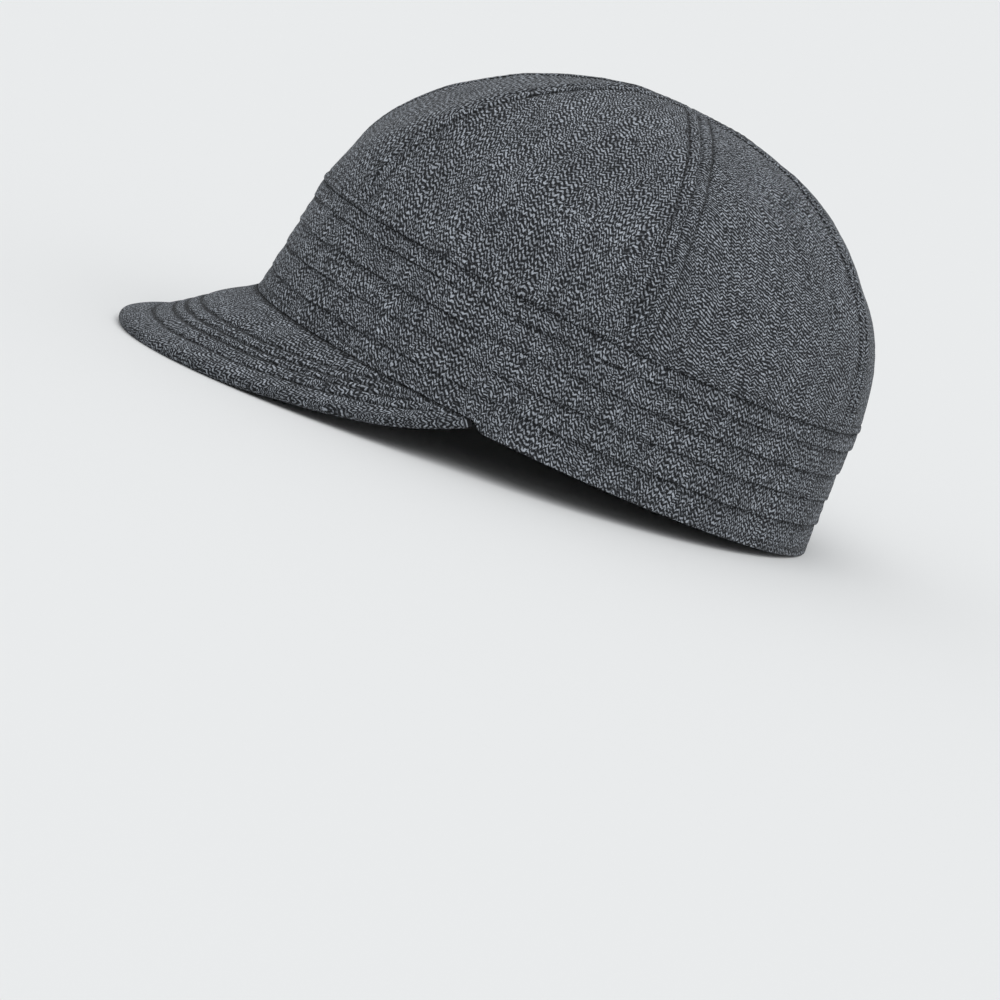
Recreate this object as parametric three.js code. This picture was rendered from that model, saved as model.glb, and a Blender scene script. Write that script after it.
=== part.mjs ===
// A soft work cap: six crown panels over a band of four tucks, with a short stitched peak.
// Millimetres, +Z up. The peak points to -Y and the wearer's left is +X.
// The shapes are worked out in the worn frame, where the rim lies level and its oval is
// centred on the origin, and are then set down as the cap rests by itself on a table:
// on the tip of the peak and the back of the rim, tipped back by a few degrees.
import * as THREE from "three";

// The rim's oval, measured over the cloth.
const RIM_LENGTH = 205;
const RIM_WIDTH = 162;

// The band: heights above the rim, and how far its wall leans in by the time it meets the crown.
const BAND_TOP = 44.2;
const TUCK_HEIGHTS = [10.9, 20.1, 29.3, 38.5];
const TUCK_STEP = 0.8;
const TUCK_ROUND = 0.7;
const BAND_WALL = 1.8;
const BAND_LEAN = { front: 4.6, side: 2.0, back: 1.2 };

// The crown: the apex lies a little behind the middle of the rim, and the panels stop just
// short of it. A panel is drawn straighter between its seams from the foot up to flatFrom.
// The front panel is the narrowest: its two seams lie FRONT_SEAM_SHIFT degrees nearer the front
// than in six equal panels.
const APEX_HEIGHT = 117.3;
const APEX_BACK = 3.5;
const LAST_CLIMB = 0.994;
const CROWN_WALL = 1.8;
const CROWN_OVERHANG = 0.6;
const CROWN_FOOT_SHARE = 0.12;
const PANEL_COUNT = 6;
const FRONT_SEAM_SHIFT = 8;
const PANEL_FLATNESS = { amount: 0.3, flatFrom: 0.5 };

// The peak runs out and down from the rim, and lifts a little and thickens towards its edge.
// Its top is arched by PEAK_FILL along the middle.
const PEAK_SLOPE = 39;
const PEAK_REACH = 46.8;
const PEAK_HALF_SPAN = 69;
const PEAK_END_MARGIN = 0.23;
const PEAK_WALL = 2.4;
const PEAK_ROOT_TOP = 2.4;
const PEAK_BORDER = { start: 0.66, lift: 1.7, swell: 1.2 };
const PEAK_FILL = { height: 1.0, fullFrom: 0.35 };
const PEAK_MIDDLE = 3;
const PEAK_FULLNESS = { turn: 2.4, reach: 0.61 };
const PEAK_EDGE = { longestShare: 0.3, top: 0.3, bottom: 0.77 };

// Past each end of the peak the hem comes down to the rim between these two angles.
const HEM_RETURN = { start: 0.17, end: 2.87 };

const GAP = 0.3;
const FLOOR_FLATTENING = 0.5;

// Crown outline seen from the front, the side and the back, in even steps of the climb from the
// band to the apex: how far out and how far up a panel is, as shares of the whole.
const CROWN_PROFILE = [
  { frontOut: 1.0, frontUp: 0.0, sideOut: 1.0, sideUp: 0.0, backOut: 1.0, backUp: 0.0 },
  { frontOut: 0.937, frontUp: 0.262, sideOut: 0.955, sideUp: 0.265, backOut: 0.952, backUp: 0.26 },
  { frontOut: 0.838, frontUp: 0.465, sideOut: 0.865, sideUp: 0.49, backOut: 0.865, backUp: 0.475 },
  { frontOut: 0.692, frontUp: 0.661, sideOut: 0.72, sideUp: 0.69, backOut: 0.725, backUp: 0.675 },
  { frontOut: 0.497, frontUp: 0.838, sideOut: 0.52, sideUp: 0.86, backOut: 0.54, backUp: 0.865 },
  { frontOut: 0.268, frontUp: 0.965, sideOut: 0.275, sideUp: 0.965, backOut: 0.285, backUp: 0.969 },
  { frontOut: 0.0, frontUp: 1.0, sideOut: 0.0, sideUp: 1.0, backOut: 0.0, backUp: 1.0 },
];

// Names of the panels in order from the front, round by the wearer's left.
const PANEL_NAMES = [
  "front_panel",
  "left_front_panel",
  "left_back_panel",
  "back_panel",
  "right_back_panel",
  "right_front_panel",
];

// How finely the surfaces are faceted.
const BAND_SIDES = 120;
const PANEL_COLUMNS = 10;
const PANEL_ROWS = 16;
const PEAK_COLUMNS = 44;
const PEAK_ROWS = 9;

const cloth = { color: 0x4b5056, roughness: 0.95, metalness: 0 };

const radians = THREE.MathUtils.degToRad;
const halfLength = RIM_LENGTH / 2;
const halfWidth = RIM_WIDTH / 2;
const panelAngle = (2 * Math.PI) / PANEL_COUNT;
const peakSlope = radians(PEAK_SLOPE);
const peakHalfSpan = radians(PEAK_HALF_SPAN);

// Mixes a front, a side and a back value for a direction, 0 being the front.
function byDirection(turn, front, side, back) {
  const towardsEnd = Math.cos(turn) ** 2;
  const end = Math.cos(turn) > 0 ? front : back;
  return side * (1 - towardsEnd) + end * towardsEnd;
}

// A point of the rim's oval, moved inwards along the oval's normal and up to a height.
function ovalPoint(turn, inwards, height) {
  const normal = new THREE.Vector2(Math.sin(turn) / halfWidth, -Math.cos(turn) / halfLength);
  normal.normalize();
  return new THREE.Vector3(
    halfWidth * Math.sin(turn) - inwards * normal.x,
    -halfLength * Math.cos(turn) - inwards * normal.y,
    height,
  );
}

// How far the band's wall has leaned in at a height.
function lean(turn, height) {
  const whole = byDirection(turn, BAND_LEAN.front, BAND_LEAN.side, BAND_LEAN.back);
  return (whole * height) / BAND_TOP;
}

// How far the peak reaches from the rim in one direction, which is nothing past its two ends.
function peakReach(turn) {
  const share = Math.min(1, Math.abs(turn) / peakHalfSpan);
  return PEAK_REACH * (1 - share ** PEAK_FULLNESS.turn) ** PEAK_FULLNESS.reach;
}

// One column of the crown's table at any climb, on a smooth curve that is level at the apex.
function profileAt(column, climb) {
  const last = CROWN_PROFILE.length - 1;
  const mirrored = column.endsWith("Out") ? -1 : 1;
  const value = (row) => {
    if (row < 0) return 2 * CROWN_PROFILE[0][column] - CROWN_PROFILE[1][column];
    if (row > last) return mirrored * CROWN_PROFILE[2 * last - row][column];
    return CROWN_PROFILE[row][column];
  };
  const row = Math.min(last - 1, Math.floor(climb * last));
  const share = climb * last - row;
  const [before, from, to, after] = [value(row - 1), value(row), value(row + 1), value(row + 2)];
  const startSlope = (to - before) / 2;
  const endSlope = (after - from) / 2;
  const bend = 3 * (to - from) - 2 * startSlope - endSlope;
  const twist = startSlope + endSlope - 2 * (to - from);
  return from + share * (startSlope + share * (bend + share * twist));
}

// Turns a direction counted in six equal panels into one on the oval. The sum is 3 at the left
// front seam, -3 at the right one and 0 at the other four.
function panelTurn(evenTurn) {
  const sum = Math.sqrt(3) * Math.sin(2 * evenTurn) + Math.sin(3 * evenTurn) + Math.sin(evenTurn);
  return evenTurn - (radians(FRONT_SEAM_SHIFT) * sum) / 3;
}

// A point on the outside of the crown. Flatness draws each panel straighter between its seams.
function crownPoint(evenTurn, climb, flatness) {
  const turn = panelTurn(evenTurn);
  const out = byDirection(
    turn,
    profileAt("frontOut", climb),
    profileAt("sideOut", climb),
    profileAt("backOut", climb),
  );
  const up = byDirection(
    turn,
    profileAt("frontUp", climb),
    profileAt("sideUp", climb),
    profileAt("backUp", climb),
  );
  const fromMiddle = evenTurn - Math.round(evenTurn / panelAngle) * panelAngle;
  const grown = flatness * THREE.MathUtils.smoothstep(climb, 0, PANEL_FLATNESS.flatFrom);
  const share = out * (1 + grown * (1 / Math.cos(fromMiddle) - 1));
  const foot = ovalPoint(turn, lean(turn, BAND_TOP) - CROWN_OVERHANG, 0);
  const base = BAND_TOP + GAP;
  return new THREE.Vector3(
    foot.x * share,
    APEX_BACK + (foot.y - APEX_BACK) * share,
    base + (APEX_HEIGHT - base) * up,
  );
}

// The outward normal of the unflattened crown, level where the crown meets the band.
function crownNormal(evenTurn, climb) {
  const step = 1e-3;
  const across = crownPoint(evenTurn + step, climb, 0).sub(crownPoint(evenTurn - step, climb, 0));
  const upwards = crownPoint(evenTurn, climb + step, 0).sub(crownPoint(evenTurn, climb - step, 0));
  const normal = across.cross(upwards).normalize();
  normal.z *= THREE.MathUtils.smoothstep(climb, 0, CROWN_FOOT_SHARE);
  return normal.normalize();
}

// A point of the peak: a share of the way from the rim to the edge, and a share of the way from
// its top to its underside.
function peakPoint(turn, share, depthShare) {
  const reach = peakReach(turn);
  const towardsEdge = THREE.MathUtils.smoothstep(share, PEAK_BORDER.start, 1);
  const middle = (reach / PEAK_REACH) ** PEAK_MIDDLE;
  const lift = PEAK_BORDER.lift * middle * towardsEdge;
  const fill = PEAK_FILL.height * middle * THREE.MathUtils.smoothstep(share, 0, PEAK_FILL.fullFrom);
  const top = lift + PEAK_BORDER.swell * towardsEdge + fill;
  const rise = THREE.MathUtils.lerp(top, lift - PEAK_WALL, depthShare);
  const along = new THREE.Vector3(0, -Math.cos(peakSlope), -Math.sin(peakSlope));
  const upwards = new THREE.Vector3(0, -Math.sin(peakSlope), Math.cos(peakSlope));
  return ovalPoint(turn, -GAP, PEAK_ROOT_TOP)
    .addScaledVector(along, share * reach)
    .addScaledVector(upwards, rise);
}

// The cap rests on the underside of the peak's edge and on the back of the rim.
const peakTip = peakPoint(0, 1 - PEAK_WALL / 2 / PEAK_REACH, 1);
const rimBack = halfLength + TUCK_STEP / 2;
const restTilt = Math.atan2(-peakTip.z, rimBack - peakTip.y);

// Sets a point of the worn frame down on the table, and flattens what would sink into it.
function setDown(point) {
  const cos = Math.cos(restTilt);
  const sin = Math.sin(restTilt);
  const height = point.z * cos - point.y * sin + rimBack * sin - FLOOR_FLATTENING;
  return new THREE.Vector3(point.x, point.y * cos + point.z * sin, Math.max(0, height));
}

// A closed solid from a grid of points: rows run round a section, columns run along the piece.
// A piece that doesn't close on itself gets a strip of triangles over each end.
function sweep(columns, joinedEnds) {
  const rows = columns[0].length;
  const points = columns.flat();
  const faces = [];
  const steps = joinedEnds ? columns.length : columns.length - 1;
  for (let c = 0; c < steps; c++) {
    const here = c * rows;
    const next = ((c + 1) % columns.length) * rows;
    for (let r = 0; r < rows; r++) {
      const above = (r + 1) % rows;
      faces.push([here + r, next + r, next + above]);
      faces.push([here + r, next + above, here + above]);
    }
  }
  if (!joinedEnds) {
    const lastColumn = (columns.length - 1) * rows;
    for (const [start, side] of [[0, 0], [lastColumn, 1]]) {
      // The ends are long thin loops, so each strip runs from one side of the loop to the other.
      for (let r = 0; r < rows / 2 - 1; r++) {
        const [a, b, c, d] = [r, r + 1, rows - 2 - r, rows - 1 - r].map((row) => start + row);
        const strip = [[a, b, d], [b, c, d]];
        faces.push(...(side ? strip.map((face) => face.reverse()) : strip));
      }
    }
  }
  const places = points.flatMap((point) => setDown(point).toArray());
  const geometry = new THREE.BufferGeometry();
  geometry.setAttribute("position", new THREE.Float32BufferAttribute(places, 3));
  geometry.setIndex(faces.filter((face) => new Set(face).size === 3).flat());
  geometry.computeVertexNormals();
  return geometry;
}

// The band's hem rises over the root of the peak and comes down to the rim past its ends.
function hemHeight(turn) {
  const past = Math.abs(turn) - peakHalfSpan;
  const back = THREE.MathUtils.smoothstep(past, radians(HEM_RETURN.start), radians(HEM_RETURN.end));
  return (PEAK_ROOT_TOP + GAP) * (1 - back);
}

// The band's section at one direction, from the foot of the outside up, over the top and down.
function bandSection(turn) {
  const hem = hemHeight(turn);
  const bottoms = [hem, ...TUCK_HEIGHTS];
  const tops = [...TUCK_HEIGHTS, BAND_TOP];
  const points = [];
  bottoms.forEach((bottom, strip) => {
    const middle = bottom + TUCK_ROUND;
    points.push(ovalPoint(turn, lean(turn, bottom) - TUCK_STEP / 2, bottom));
    points.push(ovalPoint(turn, lean(turn, middle) - TUCK_STEP, middle));
    points.push(ovalPoint(turn, lean(turn, tops[strip]), tops[strip]));
  });
  for (const height of [BAND_TOP, BAND_TOP / 2, hem]) {
    points.push(ovalPoint(turn, lean(turn, height) + BAND_WALL, height));
  }
  return points;
}

function tuckedBand() {
  const columns = [];
  for (let side = 0; side < BAND_SIDES; side++) {
    const turn = -Math.PI + (side / BAND_SIDES) * 2 * Math.PI;
    columns.push(bandSection(turn));
  }
  return sweep(columns, true);
}

// One crown panel between two seams, each edge half a gap short of its seam.
function crownPanel(index) {
  const middle = (index > PANEL_COUNT / 2 ? index - PANEL_COUNT : index) * panelAngle;
  const columns = [];
  for (let column = 0; column <= PANEL_COLUMNS; column++) {
    const across = (2 * column) / PANEL_COLUMNS - 1;
    const outside = [];
    const inside = [];
    for (let row = 0; row <= PANEL_ROWS; row++) {
      const climb = (LAST_CLIMB * row) / PANEL_ROWS;
      const seam = crownPoint(middle + Math.sign(across) * (panelAngle / 2), climb, 0);
      const radius = Math.hypot(seam.x, seam.y - APEX_BACK);
      const evenTurn = middle + across * (panelAngle / 2 - GAP / 2 / radius);
      const point = crownPoint(evenTurn, climb, PANEL_FLATNESS.amount);
      outside.push(point);
      inside.push(point.clone().addScaledVector(crownNormal(evenTurn, climb), -CROWN_WALL));
    }
    columns.push([...outside, ...inside.reverse()]);
  }
  return sweep(columns, false);
}

// The peak's section at one direction: its root lies under the band, and its edge is rounded.
function peakSection(turn) {
  const lastShare = 1 - Math.min(PEAK_WALL / 2 / peakReach(turn), PEAK_EDGE.longestShare);
  const top = [ovalPoint(turn, BAND_WALL, PEAK_ROOT_TOP)];
  const bottom = [ovalPoint(turn, BAND_WALL, PEAK_ROOT_TOP - PEAK_WALL)];
  for (let row = 0; row < PEAK_ROWS; row++) {
    const share = (lastShare * row) / (PEAK_ROWS - 1);
    top.push(peakPoint(turn, share, 0));
    bottom.push(peakPoint(turn, share, 1));
  }
  top.push(peakPoint(turn, 1, PEAK_EDGE.top));
  bottom.push(peakPoint(turn, 1, PEAK_EDGE.bottom));
  return [...bottom, ...top.reverse()];
}

function peak() {
  const columns = [];
  for (let column = 0; column <= PEAK_COLUMNS; column++) {
    const across = Math.sin((column / PEAK_COLUMNS - 0.5) * Math.PI);
    columns.push(peakSection(across * (peakHalfSpan - radians(PEAK_END_MARGIN))));
  }
  return sweep(columns, false);
}

function piece(name, geometry) {
  const mesh = new THREE.Mesh(geometry, new THREE.MeshStandardMaterial(cloth));
  mesh.name = name;
  return mesh;
}

const cap = new THREE.Group();
cap.add(piece("tucked_band", tuckedBand()));
cap.add(piece("peak", peak()));
PANEL_NAMES.forEach((name, index) => cap.add(piece(name, crownPanel(index))));

// The origin is under the middle of the cap.
const box = new THREE.Box3().setFromObject(cap);
cap.position.y = -(box.min.y + box.max.y) / 2;

export default cap;
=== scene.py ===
import math
from types import SimpleNamespace

import bpy
import numpy as np
from mathutils import Matrix, Vector


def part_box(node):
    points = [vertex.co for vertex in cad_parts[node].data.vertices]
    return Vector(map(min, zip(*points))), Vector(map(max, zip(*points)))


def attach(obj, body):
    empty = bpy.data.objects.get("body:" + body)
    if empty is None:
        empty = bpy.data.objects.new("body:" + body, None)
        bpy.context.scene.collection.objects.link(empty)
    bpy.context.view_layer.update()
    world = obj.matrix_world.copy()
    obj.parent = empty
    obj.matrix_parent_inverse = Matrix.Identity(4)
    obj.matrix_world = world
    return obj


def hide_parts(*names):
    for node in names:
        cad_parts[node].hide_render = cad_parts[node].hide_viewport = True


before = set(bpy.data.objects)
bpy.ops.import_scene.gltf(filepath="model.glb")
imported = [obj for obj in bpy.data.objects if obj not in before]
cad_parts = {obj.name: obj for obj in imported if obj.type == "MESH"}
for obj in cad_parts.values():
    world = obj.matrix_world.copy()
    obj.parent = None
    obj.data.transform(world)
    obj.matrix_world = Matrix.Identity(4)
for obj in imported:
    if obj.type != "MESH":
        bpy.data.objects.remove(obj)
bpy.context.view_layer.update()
print("frame loaded:", len(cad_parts), "nodes")

# The cap is worked out in millimetres as it is worn, with the rim level and the peak to -Y.
# setDown then tips it back as it rests by itself and turns it into metres.
rim = {"length": 205, "width": 162, "leanFront": 4.6, "leanSide": 2.0, "leanBack": 1.2}
gap = 0.3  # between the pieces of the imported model

halfLength = rim["length"] / 2
halfWidth = rim["width"] / 2


def smoothStep(value, start, end):
    share = np.clip((value - start) / (end - start), 0, 1)
    return share * share * (3 - 2 * share)


def hump(distance, width):  # 1 in the middle, nearly nothing two widths away
    return np.exp(-((distance / width) ** 2))


def byDirection(turn, front, side, back):  # turn 0 is the front
    towardsEnd = np.cos(turn) ** 2
    return side * (1 - towardsEnd) + np.where(np.cos(turn) > 0, front, back) * towardsEnd


def toPoints(x, y, z):
    return np.stack(np.broadcast_arrays(x, y, z), axis=-1).astype(float)


def ovalPoint(turn, inwards, height):
    x = np.sin(turn) / halfWidth
    y = -np.cos(turn) / halfLength
    size = np.hypot(x, y)
    return toPoints(
        halfWidth * np.sin(turn) - inwards * x / size,
        -halfLength * np.cos(turn) - inwards * y / size,
        height,
    )


def softWaves(points, waveLength, seed, count=14):  # gentle random swells, about -1.5 to 1.5
    random = np.random.default_rng(seed)
    directions = random.normal(size=(count, 3))
    directions /= np.linalg.norm(directions, axis=1)[:, None]
    lengths = waveLength * random.uniform(0.7, 1.5, count)
    phases = random.uniform(0, 2 * math.pi, count)
    waves = np.sin(points @ (2 * math.pi * directions / lengths[:, None]).T + phases)
    return waves.sum(-1) / math.sqrt(count)


def clothGrain(points):  # the fine unevenness of the cloth
    return 0.05 * softWaves(points, 3.2, 7, 20)


sewnLines = {  # how strongly the painted shade along sewn lines and tucks shows, from 0 to 1; the crown's foot also turns in further where it is strong
    "sides": 0.5,
    "backGain": 0.4,
    "frontFade": (0.45, 1.25),  # in radians from the middle of the front, as backGrow is
    "backGrow": (1.7, 2.7),
    "unevenness": 0.35,
    "unevenLength": 13,
    "least": 0.12,
}


def lineShow(points, turn, front):  # they show least at the sides, and come and go
    away = np.abs((turn + math.pi) % (2 * math.pi) - math.pi)
    frontGain = (front - sewnLines["sides"]) * (1 - smoothStep(away, *sewnLines["frontFade"]))
    backGain = sewnLines["backGain"] * smoothStep(away, *sewnLines["backGrow"])
    uneven = 1 + sewnLines["unevenness"] * softWaves(points, sewnLines["unevenLength"], 31)
    return np.clip((sewnLines["sides"] + frontGain + backGain) * uneven, sewnLines["least"], 1)


# Peak: a short stiffened bill that slopes down and out from the rim
peak = {
    "slope": math.radians(39),
    "reach": 46.8,
    "halfSpan": math.radians(69),
    "endGap": 0.004,  # in radians, short of the end of the span
    "wall": 2.4,
    "rootTop": 2.4,
    "borderStart": 0.66,
    "borderLift": 1.7,
    "borderSwell": 1.2,
    "arch": 1.0,  # how far the top rises along its middle
    "archShare": 0.35,  # over this share of the reach
    "fullTurn": 2.4,
    "fullReach": 0.61,
    "edgeShare": 0.955,  # from this share of the reach the cloth goes round the edge
    "edgeDepth": 0.49,  # the middle of the edge, as a share of the wall
    "tab": 1.8,  # how far the root runs in under the band
    "columns": 330,
    "stitchInsets": (11.5, 18.4, 22.6, 27.8),  # back from the edge
    "stitchDip": 0.45,
    "stitchDipWidth": 0.85,
    "puff": 0.2,  # the padding between two rows of stitching
    "puffWidth": 7,  # wider spaces between rows are padded more
    "reliefReach": (3, 16),  # the relief fades out where the peak is shorter than this
    "underRelief": 0.6,  # the underside's relief, as a share of the top's
    "waves": 0.25,
    "waveLength": 30,
    "wavesStart": (0.05, 0.4),
    "edgeShade": 0.25,
    "leftShare": 0.45,
    "leftLean": 125,
    "weaveScale": 1.18,  # the weave is a little finer here than on the crown
}


def peakReach(turn):
    share = np.minimum(1, np.abs(turn) / peak["halfSpan"])
    return peak["reach"] * (1 - share ** peak["fullTurn"]) ** peak["fullReach"]


def peakPoint(turn, share, depthShare, rise=0.0):
    reach = peakReach(turn)
    towardsEdge = smoothStep(share, peak["borderStart"], 1)
    middle = (reach / peak["reach"]) ** 3
    lift = peak["borderLift"] * middle * towardsEdge
    arch = peak["arch"] * middle * smoothStep(share, 0, peak["archShare"])
    top = lift + peak["borderSwell"] * towardsEdge + arch
    height = top + (lift - peak["wall"] - top) * depthShare + rise
    out = share * reach
    point = ovalPoint(turn, -gap, peak["rootTop"])
    down = math.sin(peak["slope"])
    level = math.cos(peak["slope"])
    return point + toPoints(0, -level * out - down * height, -down * out + level * height)


# Rest: the cap leans on the tip of its peak and on the back of its rim
rest = {"tuckStep": 0.8, "flattening": 0.5}
tipShare = 1 - peak["wall"] / 2 / peak["reach"]
peakTip = peakPoint(0.0, tipShare, 1.0)
rimBack = halfLength + rest["tuckStep"] / 2
restTilt = math.atan2(-peakTip[2], rimBack - peakTip[1])


def setDown(points, slide=0.0):
    cos = math.cos(restTilt)
    sin = math.sin(restTilt)
    x, y, z = points[..., 0], points[..., 1], points[..., 2]
    height = z * cos - y * sin + rimBack * sin - rest["flattening"]
    return toPoints(x, y * cos + z * sin + slide, np.maximum(0, height)) / 1000


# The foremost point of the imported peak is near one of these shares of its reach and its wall's depth
edgePlaces = ((1, 0.3), (1, 0.7), (tipShare, 0))
foremost = min(setDown(peakPoint(0.0, share, depth))[1] for share, depth in edgePlaces)
slideBack = (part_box("peak")[0].y - foremost) * 1000


# Making and shaping sheets of cloth
def deselectAll():
    bpy.ops.object.select_all(action="DESELECT")


def addSheet(name, points, cloth):  # grids [column, row] of places as worn, and on the flat cloth
    columns, rows = points.shape[:2]
    deselectAll()
    bpy.ops.mesh.primitive_grid_add(x_subdivisions=columns - 1, y_subdivisions=rows - 1, size=1)
    sheet = bpy.context.object
    sheet.name = name
    mesh = sheet.data
    mesh.name = name
    flat = readPoints(mesh)
    column = np.rint((flat[:, 0] + 0.5) * (columns - 1)).astype(int)
    row = np.rint((flat[:, 1] + 0.5) * (rows - 1)).astype(int)
    writePoints(mesh, setDown(points[column, row], slideBack))
    corners = np.zeros(len(mesh.loops), int)
    mesh.loops.foreach_get("vertex_index", corners)
    mesh.uv_layers[0].name = "clothPlace"
    mesh.uv_layers[0].data.foreach_set("uv", cloth[column[corners], row[corners]].ravel())
    storeValue(mesh, "sheetColumn", column)
    storeValue(mesh, "sheetRow", row)
    return sheet


def readPoints(mesh):
    points = np.zeros(len(mesh.vertices) * 3)
    mesh.vertices.foreach_get("co", points)
    return points.reshape(-1, 3)


def writePoints(mesh, points):
    mesh.vertices.foreach_set("co", points.ravel())
    mesh.update()


def storeValue(mesh, name, values):
    attribute = mesh.attributes.new(name, "FLOAT", "POINT")
    attribute.data.foreach_set("value", np.asarray(values, np.float32))


def readValue(mesh, name):
    values = np.zeros(len(mesh.vertices), np.float32)
    mesh.attributes[name].data.foreach_get("value", values)
    return values


def joinCoincident(sheet, distance=0.00001):
    deselectAll()
    sheet.select_set(True)
    bpy.context.view_layer.objects.active = sheet
    bpy.ops.object.mode_set(mode="EDIT")
    bpy.ops.mesh.select_all(action="SELECT")
    bpy.ops.mesh.remove_doubles(threshold=distance)
    bpy.ops.object.mode_set(mode="OBJECT")


def thicken(sheet, wall, inner, paintedShades, leftShare, leftLean):  # inner is the grid of the far side
    shown = len(sheet.data.vertices)
    solidify = sheet.modifiers.new("wall", "SOLIDIFY")
    solidify.thickness = wall / 1000
    solidify.offset = -1
    bpy.context.view_layer.objects.active = sheet
    bpy.ops.object.modifier_apply(modifier=solidify.name)
    mesh = sheet.data
    column = readValue(mesh, "sheetColumn").astype(int)
    row = readValue(mesh, "sheetRow").astype(int)
    points = readPoints(mesh)
    points[shown:] = setDown(inner[column[shown:], row[shown:]], slideBack)
    writePoints(mesh, points)
    # painted shade: only the outside of each piece is darkened in its creases and gaps
    crease = paintedShades[column, row]
    crease[shown:] = 0
    storeValue(mesh, "crease", crease)
    storeValue(mesh, "leftShare", np.broadcast_to(leftShare, paintedShades.shape)[column, row])
    storeValue(mesh, "leftLean", np.full(len(mesh.vertices), math.radians(leftLean)))
    reverse = np.zeros(len(mesh.vertices))
    reverse[shown:] = 1
    storeValue(mesh, "reverseSide", reverse)
    for name in ("sheetColumn", "sheetRow"):
        mesh.attributes.remove(mesh.attributes[name])


def finishPiece(piece, material, slot, *nodes):
    piece.data.materials.clear()
    piece.data.materials.append(material)
    deselectAll()
    piece.select_set(True)
    bpy.context.view_layer.objects.active = piece
    bpy.ops.object.shade_smooth_by_angle(angle=math.radians(60))
    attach(piece, "root")
    if nodes:
        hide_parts(*nodes)


def lengthsAlong(points, axis):  # running length along one axis of a grid of points
    steps = np.linalg.norm(np.diff(points, axis=axis), axis=-1)
    start = np.zeros_like(np.take(steps, [0], axis=axis))
    return np.concatenate([start, np.cumsum(steps, axis=axis)], axis=axis)


# Materials
def addInput(group, name, kind, value=None):
    socket = group.interface.new_socket(name=name, in_out="INPUT", socket_type=kind)
    if value is not None:
        socket.default_value = value


def nodeMaker(tree):
    nodes, links = tree.nodes, tree.links

    def connect(source, socket):
        if isinstance(source, bpy.types.NodeSocket):
            links.new(source, socket)
        else:
            socket.default_value = source

    def calc(operation, *values):
        node = nodes.new("ShaderNodeMath")
        node.operation = operation
        for value, socket in zip(values, node.inputs):
            connect(value, socket)
        return node.outputs[0]

    def vector(operation, *values):
        node = nodes.new("ShaderNodeVectorMath")
        node.operation = operation
        for name, value in zip(("Vector", "Vector_001", "Vector_002"), values):
            connect(value, next(socket for socket in node.inputs if socket.identifier == name))
        return node.outputs[0]

    def scaled(value, factor):
        node = nodes.new("ShaderNodeVectorMath")
        node.operation = "SCALE"
        links.new(value, node.inputs[0])
        connect(factor, node.inputs["Scale"])
        return node.outputs[0]

    def noise(place, scale, detail=2.0, output="Fac"):
        node = nodes.new("ShaderNodeTexNoise")
        node.inputs["Scale"].default_value = scale
        node.inputs["Detail"].default_value = detail
        links.new(place, node.inputs["Vector"])
        return node.outputs[output]

    def spread(value, fromLow, fromHigh, toLow, toHigh, smooth=False):
        node = nodes.new("ShaderNodeMapRange")
        node.interpolation_type = "SMOOTHSTEP" if smooth else "LINEAR"
        for source, name in (
            (value, "Value"),
            (fromLow, "From Min"),
            (fromHigh, "From Max"),
            (toLow, "To Min"),
            (toHigh, "To Max"),
        ):
            connect(source, node.inputs[name])
        return node.outputs["Result"]

    def combine(x, y, z=0.0):
        node = nodes.new("ShaderNodeCombineXYZ")
        for source, socket in zip((x, y, z), node.inputs):
            connect(source, socket)
        return node.outputs[0]

    def chance(place, dimensions="3D"):  # one random value for each whole number
        node = nodes.new("ShaderNodeTexWhiteNoise")
        node.noise_dimensions = dimensions
        links.new(place, node.inputs["W" if dimensions == "1D" else "Vector"])
        return node.outputs["Value"]

    def mixed(factor, first, second, blend="MIX"):  # two colours
        node = nodes.new("ShaderNodeMix")
        node.data_type = "RGBA"
        node.blend_type = blend
        for source, name in ((factor, "Factor_Float"), (first, "A_Color"), (second, "B_Color")):
            connect(source, next(socket for socket in node.inputs if socket.identifier == name))
        return next(socket for socket in node.outputs if socket.identifier == "Result_Color")

    def attribute(name):
        node = nodes.new("ShaderNodeAttribute")
        node.attribute_name = name
        return node.outputs["Fac"]

    return SimpleNamespace(
        calc=calc,
        vector=vector,
        scaled=scaled,
        noise=noise,
        spread=spread,
        combine=combine,
        chance=chance,
        mixed=mixed,
        attribute=attribute,
    )


weave = {
    "repeat": 2.5,  # across a column that leans left and one that leans right
    "leftLean": math.radians(123),
    "rightLean": math.radians(46),
    "flatLean": math.radians(166),  # in some of the columns that lean right
    "steepShare": 0.7,  # this share of them keeps to rightLean
    "unevenLean": 0.13,
    "leftShareTurns": (1.2, 2.0),  # the columns' shares change between these, from the front
    "pitch": 1.0,  # from strand to strand
    "dash": 2.3,  # how long a strand shows before it goes under
    "dashStep": 0.41,  # how far each strand's dashes are shifted from the last one's
    "dashChance": 0.5,
    "looseDash": 1.5,
    "widths": 0.75,  # how unevenly wide the columns are
    "wander": 1.35,
    "broadWander": 5.0,
    "closeWander": 0.55,
    "wriggle": 0.34,  # how far a strand strays from its line
    "wriggleSpread": 2.0,
    "strandEdge": (0.22, 0.95),  # from where a strand begins to where it is at its lightest
    "dashTaper": (0.3, 0.4),  # from how far off a dash fades towards its end, and to what
    "columnTaper": (0.08, 0.75),
    "tones": (0.55, 1.15),
    "fibreTone": 0.35,
    "streakTone": 0.13,
    "patchTones": (0.92, 1.08),
}
unevenness = {  # how often each kind comes and goes in a millimetre of cloth
    "broad": 0.045,
    "close": 0.42,
    "finest": 1.1,
    "widths": (0.13, 0.03, 1.0),
    "loose": 0.35,
    "fibre": 1.3,
    "streaks": (0.26, 0.018, 1.0),
    "patches": 0.045,
}
mostNoise = (0.3, 0.7)  # nearly all of a noise texture's values lie between these


def leftShareAt(turn, front, back):  # the left-leaning columns are widest at the front
    return front + (back - front) * smoothStep(np.abs(turn), *weave["leftShareTurns"])


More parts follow.
